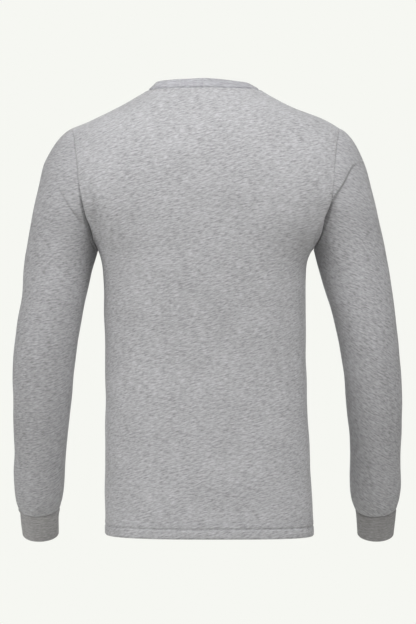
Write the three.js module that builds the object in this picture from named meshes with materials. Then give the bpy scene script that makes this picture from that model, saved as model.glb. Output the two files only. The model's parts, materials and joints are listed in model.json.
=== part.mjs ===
// A men's long-sleeve crew-neck t-shirt, filled out as if worn, with nobody in it.
// Millimetres, +Z up, +X to the wearer's left, +Y to the wearer's back. The origin lies
// midway between the two points where the shoulder seams meet the neckband.
//
// Each cut piece of cloth is a sheet: rows of points on its outer face. The sheet gets
// its wall by moving the points inwards along their normals, so every piece is one
// closed shell with open ends: neck, hem, armholes and cuffs are all open.

import * as THREE from "three";

// Driving dimensions.
const jerseyWall = 1.5; // body and sleeves
const ribWall = 2.4; // neckband and cuffs, folded double
const seamGap = 0.3; // between two pieces at a seam
const underarmDrop = 254; // from the origin down to where the sleeve meets the body
const hemDrop = 708;
const hemFold = { height: 25, wall: 2.6 }; // the hem is turned up and lies double

const neckShift = 4; // the collar sits a little to the wearer's left
const bandWidth = 18.5;

// How many stations each seam has. Pieces that meet share them, so facets meet too.
const halfColumns = 11; // of a body panel, from its middle to one edge
const bodyRows = 9; // from the top of the turned-up hem to the underarm
const armRows = 11; // from the underarm to the tip of the shoulder
const shoulderRows = 6; // from there to the neckband
const armholeEnds = [bodyRows + 2, bodyRows + 2 + armRows]; // rows of a panel, hem fold included
const capRows = 8; // of a sleeve, from the armhole to just under the arm
const tubeRows = 10; // from there to the cuff
const upperTubeRows = 3; // of those, on the upper half of the sleeve
const cuffRows = 2;
const bandRows = 2; // of the neckband
const bodyCrowding = 1.7; // above 1, the body's rows lie closer together near the underarm

// The body below the underarm, seen as level sections. left, right: how far out the side
// seams are. back, front: depths. roundLeft, roundRight: 2 is an oval, more is squarer.
const bodySections = [
  { drop: 254, left: 173.5, right: 171, back: 113, front: 114, roundLeft: 2.8, roundRight: 2.8 },
  { drop: 264, left: 168.8, right: 163, back: 112.5, front: 114, roundLeft: 2.75, roundRight: 2.75 },
  { drop: 280, left: 165.3, right: 160, back: 112, front: 114, roundLeft: 2.7, roundRight: 2.7 },
  { drop: 320, left: 163, right: 159, back: 109, front: 112, roundLeft: 2.6, roundRight: 2.65 },
  { drop: 430, left: 160.8, right: 159.5, back: 101, front: 107, roundLeft: 2.5, roundRight: 2.6 },
  { drop: 570, left: 161, right: 165, back: 106, front: 103, roundLeft: 2.5, roundRight: 3 },
  { drop: 708, left: 160.8, right: 171.5, back: 113, front: 101, roundLeft: 2.6, roundRight: 3.6 },
];

// The body above the underarm, as sections that end on the armhole, then on the shoulder
// seam. way: 0 underarm, 1 tip of the shoulder, 2 neckline. drop, depth: of the middle of
// the panel. outward, fade: how the section curves off to its ends, 2 is an oval; a fade
// near 1 meets the sleeve at a slant. lift: how its ends rise above its middle.
const yokeBack = [
  { way: 0, drop: 254, depth: 113, outward: 2.8, fade: 2.8, lift: 1 },
  { way: 0.25, drop: 205, depth: 115.5, outward: 2.8, fade: 2, lift: 1 },
  { way: 0.5, drop: 157, depth: 116, outward: 2.8, fade: 1.45, lift: 1 },
  { way: 0.75, drop: 110, depth: 110.5, outward: 2.7, fade: 1.35, lift: 1 },
  { way: 1, drop: 67, depth: 99, outward: 2.5, fade: 1.5, lift: 1 },
  { way: 1.25, drop: 45, depth: 88.5, outward: 2.4, fade: 1.85, lift: 1 },
  { way: 1.5, drop: 25.5, depth: 78, outward: 2.3, fade: 2.1, lift: 1 },
  { way: 2, drop: -1, depth: 60, outward: 2.3, fade: 2.3, lift: 1 },
];
const yokeFront = [
  { way: 0, drop: 254, depth: 114, outward: 2.8, fade: 2.8, lift: 1 },
  { way: 0.25, drop: 222, depth: 114.5, outward: 2.8, fade: 1.9, lift: 1 },
  { way: 0.5, drop: 190, depth: 113.5, outward: 2.7, fade: 1.35, lift: 1 },
  { way: 0.75, drop: 160, depth: 110, outward: 2.6, fade: 1.12, lift: 1 },
  { way: 1, drop: 132, depth: 103, outward: 2.4, fade: 1.1, lift: 0.95 },
  { way: 1.25, drop: 117, depth: 99.5, outward: 2.35, fade: 1.5, lift: 0.82 },
  { way: 1.5, drop: 104, depth: 95, outward: 2.3, fade: 1.9, lift: 0.7 },
  { way: 2, drop: 81, depth: 86, outward: 2.3, fade: 2.3, lift: 0.62 },
];

// The shoulder seam, from the neckband to the armhole.
const shoulderSeam = [
  { out: 90, left: -1, right: -2, forward: 8 },
  { out: 102, left: 7, right: 6.3, forward: 8 },
  { out: 116, left: 16, right: 14.9, forward: 8 },
  { out: 140, left: 28, right: 26.4, forward: 8 },
  { out: 178, left: 45, right: 41.2, forward: 8 },
  { out: 196, left: 52.6, right: 48.5, forward: 8 },
  { out: 214, left: 59.5, right: 59.5, forward: 8 },
];

// The two halves of an armhole, from the shoulder seam down to the underarm.
const armholeBack = [
  { out: 214, drop: 59.5, back: -8 },
  { out: 213.7, drop: 61, back: 4 },
  { out: 212.5, drop: 67, back: 17 },
  { out: 209, drop: 84, back: 38 },
  { out: 204.5, drop: 115, back: 63 },
  { out: 201, drop: 147, back: 77 },
  { out: 197, drop: 177, back: 80 },
  { out: 190.5, drop: 208, back: 69 },
  { out: 182, drop: 234, back: 44 },
  { out: 172, drop: 254, back: 0 },
];
const armholeFront = [
  { out: 214, drop: 59.5, back: -8 },
  { out: 213.5, drop: 61, back: -20 },
  { out: 211, drop: 67, back: -31 },
  { out: 205, drop: 84, back: -47 },
  { out: 197, drop: 115, back: -66 },
  { out: 192, drop: 147, back: -74 },
  { out: 189, drop: 177, back: -75 },
  { out: 185, drop: 208, back: -65 },
  { out: 179, drop: 234, back: -42 },
  { out: 172, drop: 254, back: 0 },
];

// A sleeve below the underarm, as rings square to its middle line. outLeft, outRight:
// how far out the middle of the ring is on each arm. The forearm leans forward.
const sleeveRings = [
  { drop: 290, outLeft: 237.5, outRight: 238, back: 3, wideLeft: 54, wideRight: 54, deep: 60 },
  { drop: 341, outLeft: 245.2, outRight: 249, back: 6, wideLeft: 50.6, wideRight: 50.6, deep: 57 },
  { drop: 418, outLeft: 257.4, outRight: 262.5, back: 4, wideLeft: 49.8, wideRight: 46.5, deep: 53 },
  { drop: 494, outLeft: 262.6, outRight: 269.5, back: -9, wideLeft: 46.6, wideRight: 44.8, deep: 49 },
  { drop: 573, outLeft: 267.4, outRight: 273, back: -32, wideLeft: 42.2, wideRight: 41, deep: 44.5 },
  { drop: 635, outLeft: 270.4, outRight: 274.4, back: -54, wideLeft: 40.6, wideRight: 41.3, deep: 42.5 },
  { drop: 658, outLeft: 271.2, outRight: 275.9, back: -63, wideLeft: 37.6, wideRight: 38.4, deep: 40 },
  { drop: 673, outLeft: 270.4, outRight: 276.6, back: -69, wideLeft: 32.6, wideRight: 33.1, deep: 34 },
];
const cuffRings = [
  { drop: 673, outLeft: 270.4, outRight: 276.6, back: -69, wideLeft: 32.6, wideRight: 33.1, deep: 34 },
  { drop: 684, outLeft: 270.6, outRight: 276.7, back: -73.6, wideLeft: 31.2, wideRight: 32.1, deep: 32.6 },
  { drop: 700, outLeft: 270.6, outRight: 276.7, back: -80.5, wideLeft: 30.2, wideRight: 30.7, deep: 31.2 },
  { drop: 716, outLeft: 270.6, outRight: 276.7, back: -87.5, wideLeft: 29.4, wideRight: 29.7, deep: 30 },
];

// How the lines of a sleeve's cap leave the armhole, at the underarm and at the tip of the
// shoulder: out from the body and down, and further out at the back and front. keep, join:
// how much of a line's length it keeps that direction for, and the arm's own direction at
// its other end.
const capLeave = {
  underarm: { out: 0.25, down: 0.95 },
  tip: { out: 0.9, down: 0.4 },
  outBetween: 0.25,
};
const capReach = {
  left: { keepUnderarm: 0.9, keepTip: 0.76, join: 0.88 },
  right: { keepUnderarm: 0.9, keepTip: 0.58, join: 1.1 },
};

// How far the neckband leans in over its width, at the middles and at the two sides; less
// upright as it leans more.
const bandLean = { back: 0.57, front: 0.3, left: 0.78, right: 1.05, settle: 0.35 };

// The largest folds, each a soft trough along a line on a sheet. across and along are
// shares of the sheet: across from the right edge (-1) to the left edge (1) of a panel or
// round a sleeve from its top over the back, along from the hem or armhole to the far end.
// depth is in millimetres and width a share of the sheet.
const backFolds = [
  { across: 0.8, along: 0.36, toAcross: 0.86, toAlong: 0.55, depth: 3.5, width: 0.07 },
  { across: -0.82, along: 0.36, toAcross: -0.87, toAlong: 0.53, depth: 2.5, width: 0.07 },
];
const sleeveFolds = [
  { across: 0.4, along: 0.06, toAcross: 0.16, toAlong: 0.2, depth: 4, width: 0.07 },
];

const jersey = new THREE.MeshStandardMaterial({ color: 0xa9a9ac, roughness: 0.9, metalness: 0 });
const ribKnit = new THREE.MeshStandardMaterial({ color: 0x9a999b, roughness: 0.92, metalness: 0 });
const neckRib = new THREE.MeshStandardMaterial({ color: 0xadadb1, roughness: 0.92, metalness: 0 });

// The value of a table's column at a place on its first column: a cubic through the
// rows whose slope at each row is that between the rows either side.
function read(table, column, at) {
  const key = Object.keys(table[0])[0];
  const place = (i) => table[i][key];
  const value = (i) => table[i][column];
  const last = table.length - 1;
  const slope = (i) => {
    const [a, b] = [Math.max(i - 1, 0), Math.min(i + 1, last)];
    return (value(b) - value(a)) / (place(b) - place(a));
  };
  let i = 0;
  while (i < last - 1 && at > place(i + 1)) i += 1;
  return hermite(value(i), value(i + 1), slope(i), slope(i + 1), at - place(i), place(i + 1) - place(i));
}

// A cubic from a to b over a length, with the given slopes at its ends.
function hermite(a, b, slopeA, slopeB, at, length) {
  const t = THREE.MathUtils.clamp(at / length, 0, 1);
  const [t2, t3] = [t * t, t * t * t];
  const fromA = (2 * t3 - 3 * t2 + 1) * a + (t3 - 2 * t2 + t) * length * slopeA;
  const fromB = (3 * t2 - 2 * t3) * b + (t3 - t2) * length * slopeB;
  return fromA + fromB;
}

// Points at shares of the length of a line that is given as closely spaced points.
function alongLine(line, shares) {
  const lengths = [0];
  for (let i = 1; i < line.length; i += 1) {
    lengths.push(lengths[i - 1] + line[i].distanceTo(line[i - 1]));
  }
  const whole = lengths[lengths.length - 1];
  let i = 0;
  return shares.map((share) => {
    const at = share * whole;
    while (i < line.length - 2 && lengths[i + 1] < at) i += 1;
    const part = (at - lengths[i]) / (lengths[i + 1] - lengths[i]);
    return line[i].clone().lerp(line[i + 1], THREE.MathUtils.clamp(part, 0, 1));
  });
}

const sideOf = (hand) => (hand > 0 ? "left" : "right");
const stepsTo = (count) => Array.from({ length: count + 1 }, (_, i) => i / count);
const closeSteps = stepsTo(120); // for lines that are measured along before they are divided

// Half a row of a body panel, from its middle to its end, at shares of its length. In
// plan it is a quarter of an oval; its end may lie higher than its middle.
function halfRow(middle, end, { outward, fade, lift }) {
  const line = closeSteps.map((t) => {
    const angle = (t * Math.PI) / 2;
    const out = Math.sin(angle) ** (2 / outward);
    const x = middle.x + (end.x - middle.x) * out;
    const y = end.y + (middle.y - end.y) * Math.cos(angle) ** (2 / fade);
    const z = end.z + (middle.z - end.z) * Math.max(1 - out * out, 0) ** lift;
    return new THREE.Vector3(x, y, z);
  });
  return alongLine(line, stepsTo(halfColumns));
}

// The same below the underarm, where a row is level and ends at a side seam.
// face is 1 on the back and -1 on the front, hand is 1 on the wearer's left.
function halfBodyRow(drop, face, hand) {
  const side = (column) => read(bodySections, column, drop);
  const [left, right] = [side("left"), side("right")];
  const depth = side(face > 0 ? "back" : "front");
  const middle = new THREE.Vector3((left - right) / 2, face * depth, -drop);
  const end = new THREE.Vector3(hand > 0 ? left : -right, 0, -drop);
  const roundness = side(hand > 0 ? "roundLeft" : "roundRight");
  return halfRow(middle, end, { outward: roundness, fade: roundness, lift: 1 });
}

// The shoulder seam from the tip of the shoulder to the neckband.
function shoulderLine(hand) {
  const [first, last] = [shoulderSeam[0].out, shoulderSeam[shoulderSeam.length - 1].out];
  const line = closeSteps.map((t) => {
    const out = last + t * (first - last);
    const drop = read(shoulderSeam, sideOf(hand), out);
    return new THREE.Vector3(hand * out + neckShift * t, -read(shoulderSeam, "forward", out), -drop);
  });
  return alongLine(line, stepsTo(shoulderRows));
}

// Half an armhole from the underarm up to the tip of the shoulder.
function armholeLine(face, hand) {
  const table = keyedBy(face > 0 ? armholeBack : armholeFront, "drop");
  const [first, last] = [table[0].drop, table[table.length - 1].drop];
  const line = closeSteps.map((t) => {
    const drop = last + (first - last) * t;
    return new THREE.Vector3(hand * read(table, "out", drop), read(table, "back", drop), -drop);
  });
  return alongLine(line, stepsTo(armRows));
}

// The same table with another column first, so that read goes by it.
function keyedBy(table, key) {
  return table.map((row) => ({ [key]: row[key], ...row }));
}

// Half a body panel above the underarm, as rows from the underarm to the neckline.
function halfYoke(face, hand) {
  const table = face > 0 ? yokeBack : yokeFront;
  const ends = [...armholeLine(face, hand), ...shoulderLine(hand).slice(1)];
  const foot = halfBodyRow(underarmDrop, face, hand)[0];
  return ends.map((end, k) => {
    const way = k < armRows ? k / armRows : 1 + (k - armRows) / shoulderRows;
    const x = foot.x + ((neckShift - foot.x) * way) / 2;
    const middle = new THREE.Vector3(x, face * read(table, "depth", way), -read(table, "drop", way));
    const [outward, fade, lift] = ["outward", "fade", "lift"].map((c) => read(table, c, way));
    return halfRow(middle, end, { outward, fade, lift });
  });
}

function cubic(from, to, leave, arrive, t) {
  const at = (axis) => hermite(from[axis], to[axis], leave[axis], arrive[axis], t, 1);
  return new THREE.Vector3(at("x"), at("y"), at("z"));
}

// A whole body panel: rows from the hem to the top edge, columns from the wearer's right
// to the wearer's left.
function bodyPanel(face) {
  const foldTop = hemDrop - hemFold.height;
  const edge = 1; // the wall thins from the doubled hem to one layer over this height
  const above = foldTop - edge - underarmDrop;
  const drops = [
    hemDrop,
    foldTop,
    ...stepsTo(bodyRows).map((t) => underarmDrop + above * (1 - t) ** bodyCrowding),
  ];
  const halves = [-1, 1].map((hand) => {
    const lower = drops.map((drop) => halfBodyRow(drop, face, hand));
    return [...lower.slice(0, -1), ...halfYoke(face, hand)];
  });
  return halves[0].map((row, k) => [...row.slice(1).reverse(), ...halves[1][k]]);
}

// The rings of a sleeve or cuff table for one arm. A ring starts at the outer side of the
// arm and goes over the back to the body side and the front.
function ringOf(table, hand, drop) {
  const side = hand > 0 ? "Left" : "Right";
  const middle = (at) =>
    new THREE.Vector3(hand * read(table, "out" + side, at), read(table, "back", at), -at);
  const aside = 4; // the middle line's direction is taken this far above and below
  const [from, to] = [drop - aside, drop + aside].map((at) =>
    THREE.MathUtils.clamp(at, table[0].drop, table[table.length - 1].drop),
  );
  const down = middle(to).sub(middle(from)).normalize();
  const back = new THREE.Vector3(0, 1, 0).addScaledVector(down, -down.y).normalize();
  const out = new THREE.Vector3().crossVectors(back, down);
  if (out.x * hand < 0) out.negate();
  const [wide, deep] = [read(table, "wide" + side, drop), read(table, "deep", drop)];
  return ringAngles().map((angle) =>
    middle(drop)
      .addScaledVector(out, wide * Math.cos(angle))
      .addScaledVector(back, deep * Math.sin(angle)),
  );
}

const ringAngles = () =>
  Array.from({ length: 2 * armRows }, (_, i) => (i / armRows) * Math.PI);

// The armhole as a ring: down its back half from the shoulder seam, then up its front.
function armholeRing(hand) {
  const back = armholeLine(1, hand).reverse();
  const front = armholeLine(-1, hand);
  return [...back.slice(0, -1), ...front.slice(0, -1)];
}

// A sleeve: rows of rings from the armhole to the cuff seam. From the armhole to the first
// ring each line is a cubic that leaves the seam outwards, most at the top of the shoulder,
// and joins the arm along it.
function sleeve(hand) {
  const armhole = armholeRing(hand);
  const [first, last] = [sleeveRings[0].drop, sleeveRings[sleeveRings.length - 1].drop];
  const biceps = ringOf(sleeveRings, hand, first);
  const following = ringOf(sleeveRings, hand, first + 10);
  const reach = capReach[sideOf(hand)];
  const { underarm, tip, outBetween } = capLeave;
  const mix = THREE.MathUtils.lerp;
  const cap = stepsTo(capRows).slice(0, -1).map((t) =>
    armhole.map((start, i) => {
      const angle = ringAngles()[i];
      const top = (1 + Math.cos(angle)) / 2;
      const chord = biceps[i].distanceTo(start);
      const [out, down] = ["out", "down"].map((way) => mix(underarm[way], tip[way], top));
      const outwards = out + outBetween * Math.abs(Math.sin(angle));
      const leave = new THREE.Vector3(hand * outwards, 0, -down)
        .setLength(chord * mix(reach.keepUnderarm, reach.keepTip, top));
      const arrive = following[i].clone().sub(biceps[i]).setLength(chord * reach.join);
      return cubic(start, biceps[i], leave, arrive, t);
    }),
  );
  const tube = stepsTo(tubeRows).map((t) => ringOf(sleeveRings, hand, first + (last - first) * t));
  return [...cap, ...tube];
}

// A cuff: rows of rings, the first the same as the sleeve's last.
function cuffSheet(hand) {
  const [first, last] = [cuffRings[0].drop, cuffRings[cuffRings.length - 1].drop];
  const rings = stepsTo(cuffRows).map((t) => ringOf(cuffRings, hand, first + (last - first) * t));
  return [ringOf(sleeveRings, hand, sleeveRings[sleeveRings.length - 1].drop), ...rings.slice(1)];
}

// The neckband: from the neckline, in and up. The ring starts at the middle of the back.
function neckbandSheet() {
  const necklineOf = (face, hand) => halfYoke(face, hand)[armRows + shoulderRows];
  const seam = [
    ...necklineOf(1, 1).slice(0, -1),
    ...necklineOf(-1, 1).slice(1).reverse(),
    ...necklineOf(-1, -1).slice(0, -1),
    ...necklineOf(1, -1).slice(1).reverse(),
  ];
  const middle = new THREE.Vector3(neckShift, -shoulderSeam[0].forward, 0);
  const lean = seam.map((p) => {
    const inward = middle.clone().sub(p).setZ(0).normalize();
    const side = Math.abs(inward.x);
    const { back, front, settle } = bandLean;
    const atSides = inward.x < 0 ? bandLean.left : bandLean.right;
    const mix = THREE.MathUtils.lerp;
    const share = inward.y < 0 ? mix(back, atSides, side ** 2) : mix(front, atSides, side ** 3);
    return inward.multiplyScalar(share).add(new THREE.Vector3(0, 0, 1 - settle * share)).normalize();
  });
  return stepsTo(bandRows).map((t) =>
    seam.map((p, i) => p.clone().addScaledVector(lean[i], t * bandWidth)),
  );
}

// The outward normal at each point of a sheet. closed says that a row is a ring.
function normalsOf({ rows, closed, outward }) {
  const columns = rows[0].length;
  const column = (i) => (closed ? (i + columns) % columns : THREE.MathUtils.clamp(i, 0, columns - 1));
  return rows.map((row, k) =>
    row.map((_, i) => {
      const up = rows[Math.min(k + 1, rows.length - 1)][i].clone().sub(rows[Math.max(k - 1, 0)][i]);
      const across = row[column(i + 1)].clone().sub(row[column(i - 1)]);
      return up.cross(across).normalize().multiplyScalar(outward);
    }),
  );
}

// Pieces that meet share the points of their seam, and there they also share one normal:
// the sum of their own, where the back and front together count as one. It is made longer
// where they meet at an angle, to keep the wall.
function shareNormals(sheets) {
  const mostStretch = 1.7;
  const meetings = new Map();
  const keyOf = (p) => p.toArray().map((c) => Math.round(c * 100)).join();
  for (const sheet of sheets) {
    const kind = sheet.closed ? "ring" : "panel";
    sheet.normals = normalsOf(sheet);
    sheet.rows.flat().forEach((p, n) => {
      const found = meetings.get(keyOf(p)) ?? { panel: [], ring: [] };
      found[kind].push(sheet.normals.flat()[n]);
      meetings.set(keyOf(p), found);
    });
  }
  const sumOf = (normals) => normals.reduce((sum, n) => sum.add(n), new THREE.Vector3());
  for (const sheet of sheets) {
    sheet.normals = sheet.rows.map((row) =>
      row.map((p) => {
        const { panel, ring } = meetings.get(keyOf(p));
        const body = sumOf(panel).divideScalar(Math.max(panel.length, 1));
        const sum = sumOf(ring).add(body);
        const count = ring.length + Math.min(panel.length, 1);
        const stretch = Math.min(count / sum.length(), mostStretch);
        return sum.normalize().multiplyScalar(stretch);
      }),
    );
  }
}

// Half the seam gap, into the sheet and square to its rim, for a point on a sewn rim. At
// the ends of an armhole three pieces meet, and the back and front also move apart.
function insetAt({ rows, normals, closed, sewn, outward }, k, i) {
  const columns = rows[0].length;
  const lastRow = rows.length - 1;
  const inset = new THREE.Vector3();
  const moveIn = (along, inward) => {
    const square = along.cross(normals[k][i]).normalize();
    inset.addScaledVector(square, (Math.sign(square.dot(inward)) * seamGap) / 2);
  };
  const column = (c) => (closed ? (c + columns) % columns : THREE.MathUtils.clamp(c, 0, columns - 1));
  const alongRow = () => rows[k][column(i + 1)].clone().sub(rows[k][column(i - 1)]);
  if (k === 0 && sewn.start) moveIn(alongRow(), rows[1][i].clone().sub(rows[0][i]));
  if (k === lastRow && sewn.end) moveIn(alongRow(), rows[k - 1][i].clone().sub(rows[k][i]));
  if (!closed && (i === 0 || i === columns - 1)) {
    const along = rows[Math.min(k + 1, lastRow)][i].clone().sub(rows[Math.max(k - 1, 0)][i]);
    moveIn(along, rows[k][i === 0 ? 1 : columns - 2].clone().sub(rows[k][i]));
    if (armholeEnds.includes(k)) inset.y += (outward * seamGap) / 2;
  }
  return inset;
}

// Soft troughs along the lines of a fold table, pressed in along the normals.
function pressFolds(sheet, folds, shareAcross) {
  const normals = normalsOf(sheet);
  const last = sheet.rows.length - 1;
  sheet.rows = sheet.rows.map((row, k) =>
    row.map((p, i) => {
      const depth = folds.reduce((sum, fold) => sum + troughAt(fold, shareAcross(i), k / last), 0);
      return p.clone().addScaledVector(normals[k][i], -depth);
    }),
  );
}

// A trough's depth at a place: full on its line, fading over its width and at its ends.
function troughAt(fold, across, along) {
  const [dx, dy] = [fold.toAcross - fold.across, fold.toAlong - fold.along];
  const length = Math.hypot(dx, dy);
  const t = ((across - fold.across) * dx + (along - fold.along) * dy) / length ** 2;
  const aside = Math.abs((across - fold.across) * dy - (along - fold.along) * dx) / length;
  const ends = Math.sin(THREE.MathUtils.clamp(t, 0, 1) * Math.PI);
  return fold.depth * ends * Math.exp(-((aside / fold.width) ** 2));
}

// A closed shell: the sheet, the same sheet moved in by the wall, and rims between them.
function shell(sheet) {
  const { name, wall, material, closed } = sheet;
  const outer = sheet.rows.map((row, k) => row.map((p, i) => p.clone().add(insetAt(sheet, k, i))));
  const wallOf = (k) => (k < sheet.hemRows ? hemFold.wall : wall);
  const inner = outer.map((row, k) =>
    row.map((p, i) => p.clone().addScaledVector(sheet.normals[k][i], -wallOf(k))),
  );
  const [rows, columns] = [outer.length, outer[0].length];
  const points = [...outer.flat(), ...inner.flat()];
  const at = (k, i, layer) => layer * rows * columns + k * columns + (i % columns);
  const faces = [];
  const quad = (a, b, c, d) => faces.push(a, b, c, a, c, d);
  const across = closed ? columns : columns - 1;
  for (let k = 0; k < rows - 1; k += 1) {
    for (let i = 0; i < across; i += 1) {
      quad(at(k, i, 0), at(k, i + 1, 0), at(k + 1, i + 1, 0), at(k + 1, i, 0));
      quad(at(k, i, 1), at(k + 1, i, 1), at(k + 1, i + 1, 1), at(k, i + 1, 1));
    }
  }
  for (let i = 0; i < across; i += 1) {
    quad(at(0, i, 0), at(0, i, 1), at(0, i + 1, 1), at(0, i + 1, 0));
    quad(at(rows - 1, i, 0), at(rows - 1, i + 1, 0), at(rows - 1, i + 1, 1), at(rows - 1, i, 1));
  }
  for (let k = 0; k < rows - 1 && !closed; k += 1) {
    quad(at(k, 0, 0), at(k + 1, 0, 0), at(k + 1, 0, 1), at(k, 0, 1));
    quad(at(k, columns - 1, 0), at(k, columns - 1, 1), at(k + 1, columns - 1, 1), at(k + 1, columns - 1, 0));
  }
  const geometry = new THREE.BufferGeometry().setFromPoints(points);
  geometry.setIndex(signedVolume(points, faces) < 0 ? faces.reverse() : faces);
  geometry.computeVertexNormals();
  const mesh = new THREE.Mesh(geometry, material);
  mesh.name = name;
  return mesh;
}

function signedVolume(points, faces) {
  let sum = 0;
  for (let i = 0; i < faces.length; i += 3) {
    const [a, b, c] = [points[faces[i]], points[faces[i + 1]], points[faces[i + 2]]];
    sum += a.dot(b.clone().cross(c)) / 6;
  }
  return sum;
}

const panelShare = (i) => (i - halfColumns) / halfColumns;
const sides = [["left", 1], ["right", -1]];
const panels = [["back", 1], ["front", -1]].map(([name, face]) => ({
  name,
  rows: bodyPanel(face),
  closed: false,
  outward: face,
  sewn: { start: false, end: true },
  hemRows: 2,
  wall: jerseyWall,
  material: jersey,
}));
// A sleeve is one piece of cloth. Its solid is in two halves that meet above the elbow.
const sleeves = sides.flatMap(([side, hand]) => {
  const whole = { rows: sleeve(hand), closed: true, outward: hand };
  pressFolds(whole, sleeveFolds, (i) => i / armRows);
  const elbow = capRows + upperTubeRows;
  const halves = { upper: whole.rows.slice(0, elbow + 1), lower: whole.rows.slice(elbow) };
  return Object.entries(halves).map(([half, rows]) => ({
    ...whole,
    name: `sleeve_${side}_${half}`,
    rows,
    sewn: { start: true, end: true },
    wall: jerseyWall,
    material: jersey,
  }));
});
const cuffs = sides.map(([side, hand]) => ({
  name: "cuff_" + side,
  rows: cuffSheet(hand),
  closed: true,
  outward: hand,
  sewn: { start: true, end: false },
  wall: ribWall,
  material: ribKnit,
}));
const neckband = {
  name: "neckband",
  rows: neckbandSheet(),
  closed: true,
  outward: 1,
  sewn: { start: true, end: false },
  wall: ribWall,
  material: neckRib,
};
pressFolds(panels[0], backFolds, panelShare);
const sheets = [...panels, ...sleeves, ...cuffs, neckband];
shareNormals(sheets);

const shirt = new THREE.Group();
sheets.forEach((sheet) => shirt.add(shell(sheet)));

export default shirt;
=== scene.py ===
import json

import bpy
import numpy as np
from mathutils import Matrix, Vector

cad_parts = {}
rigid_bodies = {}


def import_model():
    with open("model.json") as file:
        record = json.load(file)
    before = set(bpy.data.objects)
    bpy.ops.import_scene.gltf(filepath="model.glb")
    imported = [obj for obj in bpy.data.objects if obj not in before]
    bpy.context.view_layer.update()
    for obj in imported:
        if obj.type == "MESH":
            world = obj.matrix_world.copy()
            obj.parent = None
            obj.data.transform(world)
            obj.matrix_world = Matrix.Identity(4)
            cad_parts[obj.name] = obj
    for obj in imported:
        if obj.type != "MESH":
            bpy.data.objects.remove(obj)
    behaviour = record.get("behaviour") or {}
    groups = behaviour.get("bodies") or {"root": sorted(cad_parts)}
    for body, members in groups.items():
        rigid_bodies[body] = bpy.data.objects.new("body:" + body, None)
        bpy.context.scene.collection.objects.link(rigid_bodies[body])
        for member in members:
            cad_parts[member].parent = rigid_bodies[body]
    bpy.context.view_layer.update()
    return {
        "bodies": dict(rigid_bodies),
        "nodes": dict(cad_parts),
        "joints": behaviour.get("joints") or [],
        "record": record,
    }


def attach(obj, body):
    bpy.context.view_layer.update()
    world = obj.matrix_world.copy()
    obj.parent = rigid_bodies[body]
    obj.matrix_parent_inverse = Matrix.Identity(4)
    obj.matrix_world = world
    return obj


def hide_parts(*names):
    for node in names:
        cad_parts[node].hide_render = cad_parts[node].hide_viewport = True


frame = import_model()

mm = 0.001

# Lengths below are in millimetres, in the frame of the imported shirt: x to the wearer's
# left, y to the wearer's back, z up. drop is how far down a place is from the origin.


def table(names, *rows):
    # named columns from short rows
    return {name: np.array(column, float) for name, column in zip(names.split(), zip(*rows))}


def read(sizes, key, column, at):
    # a cubic through the rows of a table; its slope at a row is that between the rows either side
    place, value = sizes[key], sizes[column]
    low, high = np.r_[0, np.arange(len(place) - 1)], np.r_[np.arange(1, len(place)), len(place) - 1]
    slope = (value[high] - value[low]) / (place[high] - place[low])
    at = np.clip(at, place[0], place[-1])
    i = np.clip(np.searchsorted(place, at, side="right") - 1, 0, len(place) - 2)
    return cubic(value[i], value[i + 1], slope[i], slope[i + 1], at - place[i], place[i + 1] - place[i])


def cubic(a, b, slopeA, slopeB, at, length):
    # from a to b over a length, with the given slopes at its ends
    t = np.clip(at / length, 0, 1)
    fromA = (2 * t**3 - 3 * t**2 + 1) * a + (t**3 - 2 * t**2 + t) * length * slopeA
    return fromA + (3 * t**2 - 2 * t**3) * b + (t**3 - t**2) * length * slopeB


def smooth(x, low, high):
    # 0 up to low, 1 from high on, with soft shoulders between
    t = np.clip((x - low) / (high - low), 0, 1)
    return t * t * (3 - 2 * t)


def summed(steps, axis=0):
    # the running sum of steps along an axis, from 0
    return np.insert(np.cumsum(steps, axis=axis), 0, 0, axis=axis)


def spaced(lines, shares):
    # points at shares of the length of each line; lines is (lines, points, 3)
    run = summed(np.linalg.norm(np.diff(lines, axis=1), axis=2), axis=1)
    want = shares[None, :] * run[:, -1:]
    after = np.clip((run[:, None, :] <= want[:, :, None]).sum(axis=2), 1, lines.shape[1] - 1)
    row = np.arange(len(lines))[:, None]
    part = (want - run[row, after - 1]) / (run[row, after] - run[row, after - 1])
    return lines[row, after - 1] + part[..., None] * (lines[row, after] - lines[row, after - 1])


def unit(vectors):
    # the same directions, with a length of 1
    return vectors / np.linalg.norm(vectors, axis=-1, keepdims=True)


closeSteps = np.linspace(0, 1, 121)


def stack(*parts):
    # arrays that broadcast together, side by side on a new last axis
    return np.stack(np.broadcast_arrays(*parts), axis=-1)


# the shirt's form is its solids' form, on a finer grid
shirt = dict(underarmDrop=254, hemDrop=708, neckShift=4)
bodySections = table(
    "drop left right back front roundLeft roundRight",
    (254, 173.5, 171, 113, 114, 2.8, 2.8),
    (264, 168.8, 163, 112.5, 114, 2.75, 2.75),
    (280, 165.3, 160, 112, 114, 2.7, 2.7),
    (320, 163, 159, 109, 112, 2.6, 2.65),
    (430, 160.8, 159.5, 101, 107, 2.5, 2.6),
    (570, 161, 165, 106, 103, 2.5, 3),
    (708, 160.8, 171.5, 113, 101, 2.6, 3.6),
)
yokeBack = table(
    "way drop depth outward fade lift",
    (0, 254, 113, 2.8, 2.8, 1),
    (0.25, 205, 115.5, 2.8, 2, 1),
    (0.5, 157, 116, 2.8, 1.45, 1),
    (0.75, 110, 110.5, 2.7, 1.35, 1),
    (1, 67, 99, 2.5, 1.5, 1),
    (1.25, 45, 88.5, 2.4, 1.85, 1),
    (1.5, 25.5, 78, 2.3, 2.1, 1),
    (2, -1, 60, 2.3, 2.3, 1),
)
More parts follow.
